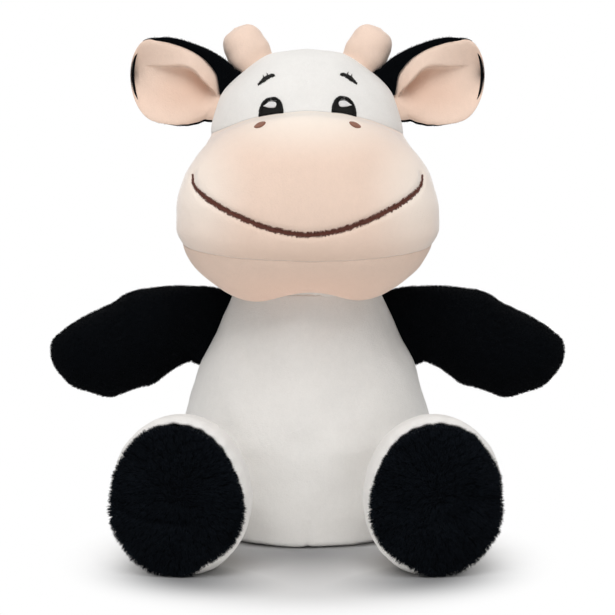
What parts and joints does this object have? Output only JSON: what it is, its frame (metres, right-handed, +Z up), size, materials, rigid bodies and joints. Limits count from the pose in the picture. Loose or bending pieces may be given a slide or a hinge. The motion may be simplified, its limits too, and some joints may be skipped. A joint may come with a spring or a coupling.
{
  "type": "plush cow",
  "caption": "Seated plush cow with a broad cream muzzle, black limbs, cupped ears, short horns and a tail, sewn from panels over fibre fill.",
  "frame": {"origin": "on the floor, in the middle of the flat seat panel", "axes": "+Z up, the cow faces -Y, its own left side is +X"},
  "size_m": [0.2418, 0.1738, 0.2385],
  "materials": {
    "white_minky": "short-pile white minky",
    "cream_minky": "short-pile cream minky",
    "black_minky": "short-pile black minky",
    "black_fur": "longer black pile",
    "fibre_fill": "loose polyester fill",
    "pellet_cloth": "plain woven bag of pellets",
    "black_thread": "satin stitch",
    "white_thread": "satin stitch",
    "brown_thread": "satin stitch",
    "rose_thread": "satin stitch"
  },
  "bodies": {
    "torso": {"torso_front_panel": "white_minky", "torso_back_panel": "white_minky", "torso_base_panel": "white_minky", "torso_stuffing": "fibre_fill", "pellet_pouch": "pellet_cloth"},
    "neck": {"neck_fill": "white_minky"},
    "head": {"head_crown_panel": "white_minky", "head_back_panel": "white_minky", "muzzle_panel": "cream_minky", "chin_panel": "cream_minky", "head_stuffing": "fibre_fill", "smile_line": "brown_thread", "eye_left": "black_thread", "eye_right": "black_thread", "eye_glint_left": "white_thread", "eye_glint_right": "white_thread", "brow_left": "black_thread", "brow_right": "black_thread", "nostril_left": "rose_thread", "nostril_right": "rose_thread", "horn_left": "cream_minky", "horn_right": "cream_minky", "horn_stuffing_left": "fibre_fill", "horn_stuffing_right": "fibre_fill"},
    "tail": {"tail_tube": "white_minky", "tail_tuft": "black_fur"},
    "ear_left": {"ear_back_left": "black_minky", "ear_lining_left": "cream_minky"},
    "arm_left": {"arm_front_panel_left": "black_minky", "arm_back_panel_left": "black_minky", "arm_stuffing_left": "fibre_fill"},
    "leg_left": {"leg_cover_left": "white_minky", "leg_stuffing_left": "fibre_fill", "sole_left": "black_fur"},
    "ear_right": {"ear_back_right": "black_minky", "ear_lining_right": "cream_minky"},
    "arm_right": {"arm_front_panel_right": "black_minky", "arm_back_panel_right": "black_minky", "arm_stuffing_right": "fibre_fill"},
    "leg_right": {"leg_cover_right": "white_minky", "leg_stuffing_right": "fibre_fill", "sole_right": "black_fur"}
  },
  "joints": [
    {"name": "head_turn", "type": "hinge", "parent": "torso", "child": "neck", "pos_m": [0, 0, 0.116], "axis": [0, 0, 1], "range_deg": [-15, 15], "stiffness_Nm_per_rad": 0.08},
    {"name": "head_nod", "type": "hinge", "parent": "neck", "child": "head", "pos_m": [0, 0, 0.116], "axis": [1, 0, 0], "range_deg": [-7, 3], "stiffness_Nm_per_rad": 0.6},
    {"name": "tail_lift", "type": "hinge", "parent": "torso", "child": "tail", "pos_m": [0, 0.04881, 0.04], "axis": [1, 0, 0], "range_deg": [0, 70]},
    {"name": "arm_left_swing", "type": "hinge", "parent": "torso", "child": "arm_left", "pos_m": [0.04639, 0, 0.09791], "axis": [0.4299, 0, -0.9029], "range_deg": [-20, 35], "stiffness_Nm_per_rad": 0.06},
    {"name": "leg_left_lift", "type": "hinge", "parent": "torso", "child": "leg_left", "pos_m": [0.04921, -0.03388, 0.029], "axis": [-0.6695, -0.7428, 0], "range_deg": [-12, 30], "stiffness_Nm_per_rad": 0.4},
    {"name": "ear_left_flap", "type": "hinge", "parent": "head", "child": "ear_left", "pos_m": [0.0421, 0, 0.20711], "axis": [0.5055, 0, -0.8629], "range_deg": [-20, 20], "stiffness_Nm_per_rad": 0.02},
    {"name": "arm_right_swing", "type": "hinge", "parent": "torso", "child": "arm_right", "pos_m": [-0.04639, 0, 0.09791], "axis": [0.4299, 0, 0.9029], "range_deg": [-20, 35], "stiffness_Nm_per_rad": 0.06},
    {"name": "leg_right_lift", "type": "hinge", "parent": "torso", "child": "leg_right", "pos_m": [-0.04921, -0.03388, 0.029], "axis": [-0.6695, 0.7428, 0], "range_deg": [-12, 30], "stiffness_Nm_per_rad": 0.4},
    {"name": "ear_right_flap", "type": "hinge", "parent": "head", "child": "ear_right", "pos_m": [-0.0421, 0, 0.20711], "axis": [0.5055, 0, 0.8629], "range_deg": [-20, 20], "stiffness_Nm_per_rad": 0.02}
  ]
}
